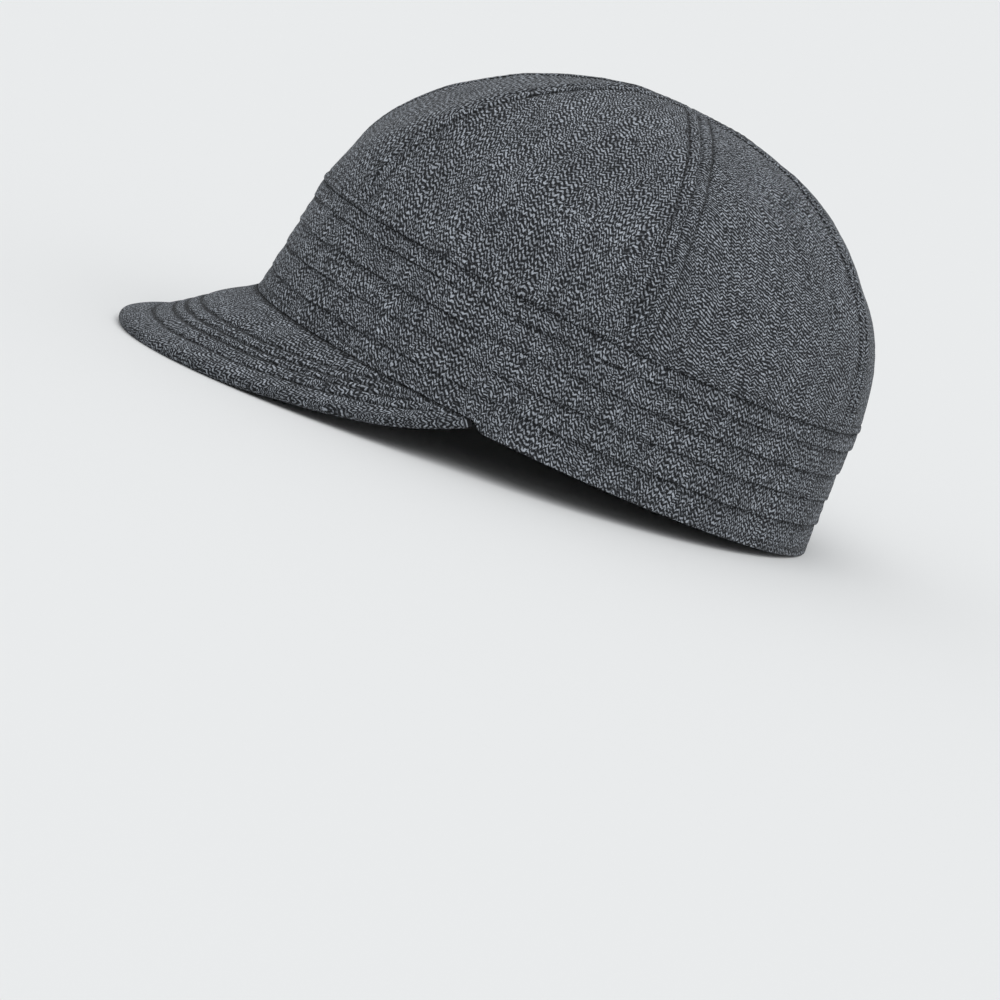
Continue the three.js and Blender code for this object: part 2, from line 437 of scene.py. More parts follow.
def herringboneGroup():  # short strands in upright columns that lean one way and then the other
    group = bpy.data.node_groups.new("herringboneWeave", "ShaderNodeTree")
    addInput(group, "Cloth Place", "NodeSocketVector")
    addInput(group, "Left Share", "NodeSocketFloat", 0.5)
    addInput(group, "Left Lean", "NodeSocketFloat", weave["leftLean"])
    addInput(group, "Repeat", "NodeSocketFloat", weave["repeat"])
    addInput(group, "Pitch", "NodeSocketFloat", weave["pitch"])
    addInput(group, "Dash", "NodeSocketFloat", weave["dash"])
    addInput(group, "Widths", "NodeSocketFloat", weave["widths"])
    addInput(group, "Wander", "NodeSocketFloat", weave["wander"])
    addInput(group, "Wriggle", "NodeSocketFloat", weave["wriggle"])
    for name in ("Strands", "Height", "Streaks"):
        group.interface.new_socket(name=name, in_out="OUTPUT", socket_type="NodeSocketFloat")
    make = nodeMaker(group)
    calc, vector, noise, spread = make.calc, make.vector, make.noise, make.spread
    given = group.nodes.new("NodeGroupInput")
    result = group.nodes.new("NodeGroupOutput")
    place = given.outputs["Cloth Place"]
    repeat = given.outputs["Repeat"]
    leftShare = given.outputs["Left Share"]
    wander = given.outputs["Wander"]

    # The strands wander about their even places
    middle = (0.5, 0.5, 0.5)
    broad = vector("SUBTRACT", noise(place, unevenness["broad"], 1.0, "Color"), middle)
    close = vector("SUBTRACT", noise(place, unevenness["close"], 1.5, "Color"), middle)
    finest = vector("SUBTRACT", noise(place, unevenness["finest"], 1.0, "Color"), middle)
    wriggle = calc("MULTIPLY", given.outputs["Wriggle"], weave["wriggleSpread"])
    moved = vector("ADD", place, make.scaled(broad, calc("MULTIPLY", wander, weave["broadWander"])))
    moved = vector("ADD", moved, make.scaled(close, calc("MULTIPLY", wander, weave["closeWander"])))
    moved = vector("ADD", moved, make.scaled(finest, wriggle))
    parts = group.nodes.new("ShaderNodeSeparateXYZ")
    group.links.new(moved, parts.inputs[0])
    x = parts.outputs["X"]
    y = parts.outputs["Y"]

    # Columns, and the lean of the strands in each
    slow = noise(vector("MULTIPLY", moved, unevenness["widths"]), 1.0, 1.0)
    uneven = calc("MULTIPLY", spread(slow, *mostNoise, -1.0, 1.0), given.outputs["Widths"])
    across = calc("DIVIDE", calc("ADD", x, uneven), repeat)
    cell = calc("FLOOR", across)
    inCell = calc("FRACT", across)
    leansLeft = calc("LESS_THAN", inCell, leftShare)
    column = calc("MULTIPLY_ADD", cell, 2.0, leansLeft)
    luck = make.chance(column, "1D")
    isFlat = calc("GREATER_THAN", luck, weave["steepShare"])
    rightLean = spread(isFlat, 0.0, 1.0, weave["rightLean"], weave["flatLean"])
    lean = spread(leansLeft, 0.0, 1.0, rightLean, given.outputs["Left Lean"])
    angle = calc("ADD", lean, spread(luck, 0.0, 1.0, -weave["unevenLean"], weave["unevenLean"]))
    cosine = calc("COSINE", angle)
    along = calc("ADD", calc("MULTIPLY", x, cosine), calc("MULTIPLY", y, calc("SINE", angle)))

    # Strands that lean left and right meet where the lean changes; flat columns have twice as many
    leftCosine = calc("ABSOLUTE", calc("COSINE", given.outputs["Left Lean"]))
    many = calc("MAXIMUM", 1.0, calc("ROUND", calc("DIVIDE", calc("ABSOLUTE", cosine), leftCosine)))
    fromMeeting = calc("MULTIPLY", calc("SUBTRACT", inCell, leftShare), repeat)
    rise = calc("SUBTRACT", y, calc("MULTIPLY", fromMeeting, calc("TANGENT", angle)))
    square = calc("MULTIPLY", rise, calc("MULTIPLY", leftCosine, many))
    strand = calc("DIVIDE", square, given.outputs["Pitch"])
    wave = calc("MULTIPLY_ADD", calc("COSINE", calc("MULTIPLY", strand, 2 * math.pi)), -0.5, 0.5)

    # Each strand shows in dashes, where it passes over the strands that cross it
    number = calc("FLOOR", strand)
    luckyShift = calc("MULTIPLY", make.chance(make.combine(column, number)), weave["dashChance"])
    shift = calc("MULTIPLY_ADD", number, weave["dashStep"], luckyShift)
    loose = calc("MULTIPLY", noise(place, unevenness["loose"], 0.0), weave["looseDash"])
    dash = calc("ADD", calc("ADD", calc("DIVIDE", along, given.outputs["Dash"]), shift), loose)
    inDash = calc("FRACT", dash)
    toDashEnd = calc("MINIMUM", inDash, calc("SUBTRACT", 1.0, inDash))
    taper, faintest = weave["dashTaper"]
    dashEnds = spread(toDashEnd, 0.0, taper, faintest, 1.0, smooth=True)
    toCellEnd = calc("MINIMUM", inCell, calc("SUBTRACT", 1.0, inCell))
    taper, faintest = weave["columnTaper"]
    columnEnds = spread(toCellEnd, 0.0, taper, faintest, 1.0, smooth=True)
    shown = calc("MULTIPLY", wave, calc("MULTIPLY", dashEnds, columnEnds))
    rounded = spread(shown, *weave["strandEdge"], 0.0, 1.0, smooth=True)

    tone = spread(make.chance(make.combine(column, number, calc("FLOOR", dash))), 0.0, 1.0, *weave["tones"])
    fibre = noise(place, unevenness["fibre"], 2.0)
    fibreTone = spread(fibre, *mostNoise, -weave["fibreTone"], weave["fibreTone"])
    strands = calc("MULTIPLY", rounded, calc("ADD", tone, fibreTone))
    group.links.new(strands, result.inputs["Strands"])
    group.links.new(rounded, result.inputs["Height"])

    stretched = vector("MULTIPLY", place, unevenness["streaks"])
    lengthways = spread(noise(stretched, 1.0, 3.0), *mostNoise, -weave["streakTone"], weave["streakTone"])
    patches = spread(noise(place, unevenness["patches"], 2.0), *mostNoise, *weave["patchTones"])
    group.links.new(calc("ADD", lengthways, patches), result.inputs["Streaks"])
    return group


weaveGroup = herringboneGroup()

clothFinish = {
    "darkYarn": (0.016, 0.0172, 0.0195, 1),
    "lightYarn": (0.383, 0.413, 0.456, 1),
    "creaseShade": 0.8,  # how much the painted shade in creases, gaps and under tucks darkens the cloth where it is full
    "reverseShade": 0.25,
    "roughness": 0.93,
    "specular": 0.15,
    "sheen": 0.05,
    "sheenRoughness": 0.5,
    "bumpStrength": 0.7,
    "bumpDepth": 0.00022,
}


def clothMaterial():
    material = bpy.data.materials.new("herringboneCloth")
    material.use_nodes = True
    tree = material.node_tree
    make = nodeMaker(tree)
    shader = tree.nodes["Principled BSDF"]
    shader.inputs["Roughness"].default_value = clothFinish["roughness"]
    shader.inputs["Sheen Weight"].default_value = clothFinish["sheen"]
    shader.inputs["Sheen Roughness"].default_value = clothFinish["sheenRoughness"]
    shader.inputs["Specular IOR Level"].default_value = clothFinish["specular"]
    place = tree.nodes.new("ShaderNodeUVMap")
    place.uv_map = "clothPlace"
    pattern = tree.nodes.new("ShaderNodeGroup")
    pattern.node_tree = weaveGroup
    tree.links.new(place.outputs["UV"], pattern.inputs["Cloth Place"])
    tree.links.new(make.attribute("leftShare"), pattern.inputs["Left Share"])
    tree.links.new(make.attribute("leftLean"), pattern.inputs["Left Lean"])
    base = make.mixed(pattern.outputs["Strands"], clothFinish["darkYarn"], clothFinish["lightYarn"])
    # painted shade: the cloth is darkened along seams, stitching and tucks, in gaps and under the crown's
    # edge
    crease = make.calc("MULTIPLY", make.attribute("crease"), clothFinish["creaseShade"])
    reverse = make.calc("MULTIPLY", make.attribute("reverseSide"), clothFinish["reverseShade"])
    lit = make.calc("SUBTRACT", 1.0, make.calc("MAXIMUM", crease, reverse))
    shade = make.calc("MULTIPLY", pattern.outputs["Streaks"], lit)
    colour = make.mixed(1.0, base, make.combine(shade, shade, shade), "MULTIPLY")
    tree.links.new(colour, shader.inputs["Base Color"])
    bump = tree.nodes.new("ShaderNodeBump")
    bump.inputs["Strength"].default_value = clothFinish["bumpStrength"]
    bump.inputs["Distance"].default_value = clothFinish["bumpDepth"]
    tree.links.new(pattern.outputs["Height"], bump.inputs["Height"])
    tree.links.new(bump.outputs["Normal"], shader.inputs["Normal"])
    return material


threadFinish = {
    "dark": (0.012, 0.013, 0.015, 1),
    "light": (0.055, 0.06, 0.066, 1),
    "fibres": 900.0,  # to a metre
    "roughness": 0.75,
}


def threadMaterial():
    material = bpy.data.materials.new("sewingThread")
    material.use_nodes = True
    tree = material.node_tree
    make = nodeMaker(tree)
    shader = tree.nodes["Principled BSDF"]
    shader.inputs["Roughness"].default_value = threadFinish["roughness"]
    place = tree.nodes.new("ShaderNodeTexCoord").outputs["Object"]
    fibres = make.noise(place, threadFinish["fibres"])
    base = make.mixed(fibres, threadFinish["dark"], threadFinish["light"])
    tree.links.new(base, shader.inputs["Base Color"])
    return material


herringboneCloth = clothMaterial()
sewingThread = threadMaterial()
print("materials made")


# Stitching: one stitch is modelled and repeated along each row
stitching = {
    "pitch": 2.9,
    "length": 2.5,
    "thickness": 0.36,
    "lift": -0.04,  # how far out of the cloth the middle of the thread lies
    "sides": 6,
    "rings": 5,
}


def stitchRow(path, lift):  # both in millimetres, as worn; lift points out of the cloth
    points = setDown(path + lift, slideBack)
    length = np.linalg.norm(np.diff(points, axis=0), axis=1).sum()
    count = max(2, round(length * 1000 / stitching["pitch"]))
    deselectAll()
    bpy.ops.mesh.primitive_uv_sphere_add(
        segments=stitching["sides"], ring_count=stitching["rings"], radius=0.5
    )
    stitch = bpy.context.object
    across = stitching["thickness"] / 1000
    bpy.ops.object.mode_set(mode="EDIT")
    bpy.ops.transform.rotate(value=math.pi / 2, orient_axis="Y", center_override=(0, 0, 0))
    bpy.ops.transform.resize(value=(stitching["length"] / 1000, across, across))
    bpy.ops.transform.translate(value=(stitching["pitch"] / 2000, 0, 0))
    bpy.ops.object.mode_set(mode="OBJECT")
    bpy.ops.curve.primitive_bezier_curve_add()
    route = bpy.context.object
    route.data.splines.clear()
    spline = route.data.splines.new("POLY")
    spline.points.add(len(points) - 1)
    spline.points.foreach_set("co", np.column_stack([points, np.ones(len(points))]).ravel())
    route.data.dimensions = "3D"
    repeat = stitch.modifiers.new("repeat", "ARRAY")
    repeat.use_relative_offset = False
    repeat.use_constant_offset = True
    repeat.constant_offset_displace = (length / count, 0, 0)
    repeat.count = count
    follow = stitch.modifiers.new("follow", "CURVE")
    follow.object = route
    bpy.context.view_layer.objects.active = stitch
    bpy.ops.object.modifier_apply(modifier=repeat.name)
    bpy.ops.object.modifier_apply(modifier=follow.name)
    bpy.data.objects.remove(route)
    return stitch


def sewTogether(name, rows):
    deselectAll()
    for row in rows:
        row.select_set(True)
    bpy.context.view_layer.objects.active = rows[0]
    if len(rows) > 1:
        bpy.ops.object.join()
    stitches = bpy.context.object
    stitches.name = name
    stitches.data.name = name
    finishPiece(stitches, sewingThread, "sewing_thread")


# Crown: six panels, each wider in the middle of its height than a flat triangle
crown = {
    "foot": 44.5,
    "apexHeight": 117.3,
    "apexBack": 3.5,
    "wall": 1.8,
    "overhang": 0.6,
    "flatness": 0.3,
    "flatFrom": 0.5,  # flattest from this climb on; climb is 0 at the foot and 1 at the apex
    "frontSeamShift": math.radians(8),  # the front panel is the narrowest
    "arc": 132,  # about how long a panel is along its middle, foot to apex
    "rows": 150,
    "evenRowsFrom": 5.4,
    "columnsBetween": 27,
    "clothPart": 200.0,  # each panel is cut from another part of the cloth
    "seamDip": 0.5,
    "seamDipWidth": 0.8,
    "seamShade": 0.35,
    "allowanceRise": 0.3,  # the seam allowance pressed open under the cloth
    "allowanceEdge": (0.9, 1.4),  # it ends over these widths before and beyond the topstitching
    "topstitch": 4.4,  # from the seam to each row of topstitching
    "topstitchDip": 0.5,
    "topstitchDipWidth": 0.6,
    "pucker": 0.07,
    "puckerWidth": 1.5,
    "rowLeast": 0.7,  # the rows of topstitching show less near the foot
    "rowGrow": (0.3, 0.75),
    "rowSink": 0.25,
    "rowStart": 0.6,  # above the row of stitching along the foot
    "rowEnd": 0.97,
    "footCalm": (0.5, 4.0),
    "apexCalm": 0.6,
    "apexCalmFrom": 0.88,
    "weltHeight": 2.6,  # the row of stitching above the band
    "weltDip": 0.28,
    "weltWidth": 0.45,
    "weltSwell": 0.15,
    "weltSwellWidth": 0.8,
    "weltShade": 0.5,
    "softFolds": 0.55,
    "longFolds": {"upright": 0.55, "length": 34, "seed": 11, "share": 0.7},
    "shortFolds": {"upright": 0.4, "length": 13, "seed": 5, "share": 0.22},
    "foldsGrow": (3, 22),
    "foldsCalmFrom": 0.85,
    "footEdge": 0.55,  # the cloth turns in under itself over this height
    "footTurn": 0.3,
    "footTurnMore": 0.6,  # where the joint shows
    "footDrop": 0.22,
    # painted shade in the gap at the foot, and a softer painted shade just above it
    "footShade": (0.1, 0.5),
    "footHalo": 0.25,
    "footHaloHeights": (0.5, 2.2),
    "jointShow": 0.72,
    "innerAllowance": 0.5,
    "innerAllowanceEdge": (5.4, 6.6),
    "leftShares": (0.68, 0.55),  # at the front and at the back
    "leftLeans": (123, 123, 148, 130, 148, 123),  # the weave's lean in each panel, in degrees
}
nearSeam = np.array(
    [0.03, 0.3, 0.6, 1.0, 1.5, 2.1, 2.8, 3.4, 3.75, 4.0, 4.2, 4.4, 4.6, 4.8, 5.05, 5.4, 6.0, 6.9, 8.0, 9.2]
)
nearFoot = np.array([0.0, 0.12, 0.4, 0.9, 1.5, 1.95, 2.2, 2.4, 2.6, 2.8, 3.0, 3.3, 3.8, 4.5])

# Out from the middle and up from the foot, for the front, the side and the back
crownProfile = {
    "frontOut": (1.0, 0.937, 0.838, 0.692, 0.497, 0.268, 0.0),
    "frontUp": (0.0, 0.262, 0.465, 0.661, 0.838, 0.965, 1.0),
    "sideOut": (1.0, 0.955, 0.865, 0.72, 0.52, 0.275, 0.0),
    "sideUp": (0.0, 0.265, 0.49, 0.69, 0.86, 0.965, 1.0),
    "backOut": (1.0, 0.952, 0.865, 0.725, 0.54, 0.285, 0.0),
    "backUp": (0.0, 0.26, 0.475, 0.675, 0.865, 0.969, 1.0),
}
panelNames = (
    "front_panel",
    "left_front_panel",
    "left_back_panel",
    "back_panel",
    "right_back_panel",
    "right_front_panel",
)
panelAngle = 2 * math.pi / len(panelNames)


def profileAt(column, climb):  # a smooth curve through the column's values
    values = np.array(crownProfile[column])
    mirrored = -1 if column.endswith("Out") else 1
    values = np.concatenate([[2 * values[0] - values[1]], values, [mirrored * values[-2]]])
    last = len(values) - 3
    row = np.clip(np.floor(climb * last).astype(int), 0, last - 1)
    share = climb * last - row
    before, start, end, after = (values[row + step] for step in range(4))
    startSlope = (end - before) / 2
    endSlope = (after - start) / 2
    bend = 3 * (end - start) - 2 * startSlope - endSlope
    twist = startSlope + endSlope - 2 * (end - start)
    return start + share * (startSlope + share * (bend + share * twist))


leanTop = 44.2  # the band leans in evenly up to here, its top


def leanIn(turn, height):
    return byDirection(turn, rim["leanFront"], rim["leanSide"], rim["leanBack"]) * height / leanTop


def panelTurn(evenTurn):  # evenTurn counts in six equal panels; only the two front seams are moved
    shift = (math.sqrt(3) * np.sin(2 * evenTurn) + np.sin(3 * evenTurn) + np.sin(evenTurn)) / 3
    return evenTurn - crown["frontSeamShift"] * shift


def crownPoint(evenTurn, climb, flatness):
    turn = panelTurn(evenTurn)
    out = byDirection(turn, *(profileAt(name, climb) for name in ("frontOut", "sideOut", "backOut")))
    up = byDirection(turn, *(profileAt(name, climb) for name in ("frontUp", "sideUp", "backUp")))
    fromMiddle = evenTurn - np.round(evenTurn / panelAngle) * panelAngle
    grown = flatness * smoothStep(climb, 0, crown["flatFrom"])
    share = out * (1 + grown * (1 / np.cos(fromMiddle) - 1))
    foot = ovalPoint(turn, leanIn(turn, leanTop) - crown["overhang"], 0)
    return toPoints(
        foot[..., 0] * share,
        crown["apexBack"] + (foot[..., 1] - crown["apexBack"]) * share,
        crown["foot"] + (crown["apexHeight"] - crown["foot"]) * up,
    )


def crownNormal(evenTurn, climb, step=1e-3):
    climb = np.minimum(climb, 1 - 2 * step)
    across = crownPoint(evenTurn + step, climb, 0) - crownPoint(evenTurn - step, climb, 0)
    upwards = crownPoint(evenTurn, climb + step, 0) - crownPoint(evenTurn, climb - step, 0)
    normal = np.cross(across, upwards)
    normal /= np.linalg.norm(normal, axis=-1, keepdims=True)
    normal[..., 2] *= smoothStep(climb, 0, 0.12)  # level at the foot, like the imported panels' edge
    return normal / np.linalg.norm(normal, axis=-1, keepdims=True)


def panelGrid(index):  # even turn, climb and distance from the nearer seam, for each column and row
    middle = (index if index * panelAngle <= math.pi else index - len(panelNames)) * panelAngle
    evenFrom = crown["evenRowsFrom"] / crown["arc"]
    evenRows = np.linspace(evenFrom, 1, crown["rows"] - len(nearFoot))
    climbs = np.concatenate([nearFoot / crown["arc"], evenRows])
    fineTurns = np.linspace(-0.5, 0.5, 241) * panelAngle + middle
    evenTurns, seams = [], []
    for climb in climbs:
        run = lengthsAlong(crownPoint(fineTurns, climb, crown["flatness"]), 0)
        half = run[-1] / 2
        near = nearSeam * min(1, half / (nearSeam[-1] + 3))
        between = np.linspace(near[-1], half, crown["columnsBetween"] + 1)[1:]
        fromSeam = np.concatenate([near, between])
        stops = np.concatenate([fromSeam, 2 * half - fromSeam[-2::-1]])
        if half < 1e-6:  # at the apex
            evenTurns.append(np.linspace(fineTurns[0], fineTurns[-1], len(stops)))
        else:
            evenTurns.append(np.interp(stops, run, fineTurns))
        seams.append(np.minimum(stops, 2 * half - stops))
    evenTurn = np.array(evenTurns).T
    return evenTurn, np.broadcast_to(climbs, evenTurn.shape), np.array(seams).T


def foldWaves(base, folds):
    return softWaves(base * (1, 1, folds["upright"]), folds["length"], folds["seed"]) * folds["share"]


def makePanel(index):
    name = panelNames[index]
    evenTurn, climb, fromSeam = panelGrid(index)
    turn = panelTurn(evenTurn)
    base = crownPoint(evenTurn, climb, crown["flatness"])
    normal = crownNormal(evenTurn, climb)
    middleColumn = turn.shape[0] // 2
    across = lengthsAlong(base, 0)
    across -= across[middleColumn]
    up = lengthsAlong(base, 1)
    cloth = np.stack([across, np.broadcast_to(up[middleColumn], across.shape)], axis=-1)
    cloth[..., 0] += index * crown["clothPart"]

    nearApex = 1 - smoothStep(climb, crown["apexCalmFrom"], 1.0) * crown["apexCalm"]
    awayFromFoot = smoothStep(up, *crown["footCalm"])
    fromRow = fromSeam - crown["topstitch"]
    allowanceStart, allowanceEnd = crown["allowanceEdge"]
    seamLine = hump(fromSeam, crown["seamDipWidth"])
    stitchLine = hump(fromRow, crown["topstitchDipWidth"])
    allowance = 1 - smoothStep(fromRow, -allowanceStart, allowanceEnd)
    pucker = np.sin(2 * math.pi * up / stitching["pitch"]) * hump(fromRow, crown["puckerWidth"])
    weltLine = hump(up - crown["weltHeight"], crown["weltWidth"])
    show = lineShow(base, turn, crown["jointShow"])
    rowShow = crown["rowLeast"] + (1 - crown["rowLeast"]) * smoothStep(climb, *crown["rowGrow"])
    relief = (
        -crown["seamDip"] * seamLine * nearApex
        - crown["topstitchDip"] * stitchLine * nearApex * rowShow
        + crown["allowanceRise"] * allowance * (1 - seamLine)
        + crown["pucker"] * pucker
    ) * awayFromFoot
    relief -= crown["weltDip"] * weltLine
    relief += crown["weltSwell"] * hump(up - crown["weltHeight"] / 2, crown["weltSwellWidth"])
    folds = foldWaves(base, crown["longFolds"]) + foldWaves(base, crown["shortFolds"])
    apexCalm = 1 - crown["apexCalm"] * smoothStep(climb, crown["foldsCalmFrom"], 1.0)
    folds *= crown["softFolds"] * smoothStep(up, *crown["foldsGrow"]) * apexCalm
    relief += folds + clothGrain(base)
    outer = base + normal * relief[..., None]
    turnedIn = 1 - smoothStep(up, 0.0, crown["footEdge"])
    footTurn = (crown["footTurn"] + crown["footTurnMore"] * show) * turnedIn ** 2
    outer -= normal * footTurn[..., None]
    outer[..., 2] -= crown["footDrop"] * turnedIn

    innerRelief = folds - crown["wall"]
    innerRelief -= crown["innerAllowance"] * (1 - smoothStep(fromSeam, *crown["innerAllowanceEdge"]))
    inner = base + normal * innerRelief[..., None]
    # painted shade along the seam, the topstitching and the welt row, and in the gap at the foot with a
    # softer painted shade just above it
    crease = np.maximum(seamLine * crown["seamShade"], stitchLine) * awayFromFoot * rowShow
    shadeHalo = crown["footHalo"] * (1 - smoothStep(up, *crown["footHaloHeights"]))
    footGapShade = np.maximum(1 - smoothStep(up, *crown["footShade"]), shadeHalo)
    crease = np.maximum(crease, np.maximum(crown["weltShade"] * weltLine, footGapShade) * show)

    sheet = addSheet(name + "_cloth", outer, cloth)
    joinCoincident(sheet)
    leftShare = leftShareAt(turn, *crown["leftShares"])
    thicken(sheet, crown["wall"], inner, crease, leftShare, crown["leftLeans"][index])
    finishPiece(sheet, herringboneCloth, "herringbone_cloth", name)

    stitchColumn = int(np.argmin(np.abs(nearSeam - crown["topstitch"])))
    start = int(np.searchsorted(up[middleColumn], crown["weltHeight"] + crown["rowStart"]))
    stop = int(np.searchsorted(climb[0], crown["rowEnd"]))
    rows = []
    for column in (stitchColumn, turn.shape[0] - 1 - stitchColumn):
        lift = stitching["lift"] - crown["rowSink"] * (1 - rowShow[column, start:stop, None])
        rows.append(stitchRow(outer[column, start:stop], normal[column, start:stop] * lift))
    weltRow = int(np.argmin(np.abs(up[middleColumn] - crown["weltHeight"])))
    rows.append(stitchRow(outer[:, weltRow], normal[:, weltRow] * stitching["lift"]))
    return rows


crownStitches = []
for panelIndex in range(len(panelNames)):
    crownStitches += makePanel(panelIndex)
    print("crown panel made:", panelNames[panelIndex])
sewTogether("crown_stitches", crownStitches)


# Band: one ring with four tucks, so that five strips overlap downwards
band = {
    "top": leanTop,
    "tucks": (10.9, 20.1, 29.3, 38.5),
    "stepFront": 0.5,
    "stepSide": 0.75,
    "stepBack": 0.8,
    "wall": 1.8,
    "columns": 560,
    "rowsPerStrip": 12,
    "waver": 0.35,  # how far a tuck line strays up and down
    "longWaver": 60,
    "shortWaver": 17,
    "shortWaverShare": 0.5,
    "puff": 0.1,
    "underTuck": 0.12,  # a strip ends this far below the next tuck line
    "tuckShadeHeight": 0.4,
    "lipOut": 0.85,  # from this share of the step out, the lower edge of a strip gets the weaker painted shade lipShade
    "lipShade": 0.4,
    "shadows": ((0.85, 0.5), (0.45, 1.9)),  # strength and width of the painted shadows on the cloth below a tuck
    "topLip": (0.02, -0.5),  # above the top and out, where the crown covers it
    "swell": 0.35,
    "swellLength": 40,
    "dimples": 0.1,
    "dimpleLength": 9,
    "calmHem": (0, 6),
    "calmTop": (38, 44),
    "hemStitch": 2.3,
    "hemDip": 0.3,
    "hemWidth": 0.5,
    "hemShade": 0.6,
    "hemBesidePeak": (0.003, 0.05),  # in radians past the end of the peak
    "lineShow": 0.66,
    "jointShow": 0.06,  # the painted shade on the band's top strip, below the crown's joint, is this much stronger in front
    "jointFrom": 1.5,  # above the top tuck
    "innerRidge": 0.25,
    "innerRidgeWidth": 0.8,
    "leftShares": (0.68, 0.62),
    "leftLean": 125,
}
# Round the lower edge of a strip: up from the tuck line, and out from the strip below
stripEdge = np.array(
    [(-0.02, 0.02), (0.06, -0.04), (-0.1, 0.3), (-0.06, 0.62), (0.12, 0.84), (0.42, 0.93), (0.9, 0.9)]
)


def hemHeight(turn):
    start, end = band["hemBesidePeak"]
    toPeak = 1 - smoothStep(np.abs(turn), peak["halfSpan"] + start, peak["halfSpan"] + end)
    return (peak["rootTop"] + gap) * toPeak


def tuckLines(turns):  # the hem and the four tuck lines, each a little wavering
    circle = ovalPoint(turns, 0, 0)
    lines = [hemHeight(turns)]
    for line, tuck in enumerate(band["tucks"]):
        long = softWaves(circle, band["longWaver"], 20 + line)
        short = softWaves(circle, band["shortWaver"], 40 + line)
        lines.append(tuck + band["waver"] * (long + band["shortWaverShare"] * short))
    return lines


def bandRows(turns, lines):  # height, distance out and painted shade, for each column and row
    step = byDirection(turns, band["stepFront"], band["stepSide"], band["stepBack"])
    tops = lines[1:] + [np.full_like(turns, band["top"])]
    heights, outs, paintedShades = [], [], []
    for strip, (low, high) in enumerate(zip(lines, tops)):
        edge = stripEdge if strip else stripEdge[2:]
        # painted shade in the groove under each tuck, weaker on the strip's rounded lower edge
        for up, out in edge:
            shade = 0.0
            if strip and up < band["tuckShadeHeight"]:
                shade = 1.0 if out < band["lipOut"] else band["lipShade"]
            heights.append(low + up)
            outs.append(out * step)
            paintedShades.append(np.full_like(turns, shade))
        lastUp, lastOut = edge[-1]
        start = low + lastUp
        for share in np.linspace(0, 1, band["rowsPerStrip"])[1:]:
            height = start + (high - band["underTuck"] - start) * share
            heights.append(height)
            outs.append(step * lastOut * (1 - share) + band["puff"] * math.sin(math.pi * share))
            shadows = [strength * hump(high - height, width) for strength, width in band["shadows"]]
            paintedShades.append(np.maximum(*shadows))
    # the top edge, where the crown covers it, is painted in full shade
    lipUp, lipOut = band["topLip"]
    heights.append(np.full_like(turns, band["top"] + lipUp))
    outs.append(np.full_like(turns, lipOut))
    paintedShades.append(np.ones_like(turns))
    return np.array(heights).T, np.array(outs).T, np.array(paintedShades).T


def makeBand():
    turns = np.linspace(-math.pi, math.pi, band["columns"] + 1)
    lines = tuckLines(turns)
    hem = lines[0]
    heights, outs, paintedShades = bandRows(turns, lines)
    turn = np.broadcast_to(turns[:, None], heights.shape)
    base = ovalPoint(turn, leanIn(turn, heights), heights)
    calm = smoothStep(heights, *band["calmHem"]) * (1 - smoothStep(heights, *band["calmTop"]))
    outs += band["swell"] * softWaves(base, band["swellLength"], 3) * calm
    outs += band["dimples"] * softWaves(base * (1, 1, 2.5), band["dimpleLength"], 4) * calm
    outs += clothGrain(base)
    hemLine = hump(heights - hem[:, None] - band["hemStitch"], band["hemWidth"])
    outs -= band["hemDip"] * hemLine
    jointed = smoothStep(heights, band["tucks"][-1] + band["jointFrom"], band["top"])
    # painted shade along the hem stitching, then scaled by lineShow
    paintedShades = np.maximum(paintedShades, band["hemShade"] * hemLine)
    paintedShades *= lineShow(base, turn, band["lineShow"] + band["jointShow"] * jointed)
    for values in (outs, heights, paintedShades):  # the two ends meet at the back
        values[-1] = values[0]
    outer = ovalPoint(turn, leanIn(turn, heights) - outs, heights)
    outer[-1] = outer[0]
    ridges = sum(hump(heights - line[:, None], band["innerRidgeWidth"]) for line in lines[1:])
    innerIn = leanIn(turn, heights) + band["wall"] + band["innerRidge"] * ridges
    inner = ovalPoint(turn, innerIn, np.maximum(heights, hem[:, None] + gap))
    around = lengthsAlong(ovalPoint(turns, 0, 0), 0)
    cloth = np.stack([np.broadcast_to(around[:, None], heights.shape), heights], axis=-1)
    sheet = addSheet("tucked_band_cloth", outer, cloth)
    joinCoincident(sheet)
    leftShare = leftShareAt(turn, *band["leftShares"])
    thicken(sheet, band["wall"], inner, paintedShades, leftShare, band["leftLean"])
    finishPiece(sheet, herringboneCloth, "herringbone_cloth", "tucked_band")

    hemRow = int(np.argmin(np.abs(heights[0] - band["hemStitch"])))
    stitchHeight = hem + band["hemStitch"]
    path = ovalPoint(turns, leanIn(turns, stitchHeight) - outs[:, hemRow], stitchHeight)
    outwards = ovalPoint(turns, -1, 0) - ovalPoint(turns, 0, 0)
    return [stitchRow(path, outwards * stitching["lift"])]


sewTogether("hem_stitches", makeBand())
print("band made")


# Peak: padded border, four rows of stitching, the root tucked in under the band
def peakRelief(turn, share, reach):
    inset = (1 - share) * reach
    lines = sum(hump(inset - row, peak["stitchDipWidth"]) for row in peak["stitchInsets"])
    edges = (0.0,) + peak["stitchInsets"] + (40.0,)
    puffs = 0
    for low, high in zip(edges, edges[1:]):
        inside = np.clip((inset - low) / (high - low), 0, 1)
        puffs = puffs + np.sin(math.pi * inside) ** 0.8 * min(1.5, (high - low) / peak["puffWidth"])
    fade = smoothStep(reach, *peak["reliefReach"])
    return lines, (peak["puff"] * puffs - peak["stitchDip"] * lines) * fade


def peakWaves(turn, share):
    waves = softWaves(peakPoint(turn, share, 0.0), peak["waveLength"], 8)
    return peak["waves"] * waves * smoothStep(share, *peak["wavesStart"])


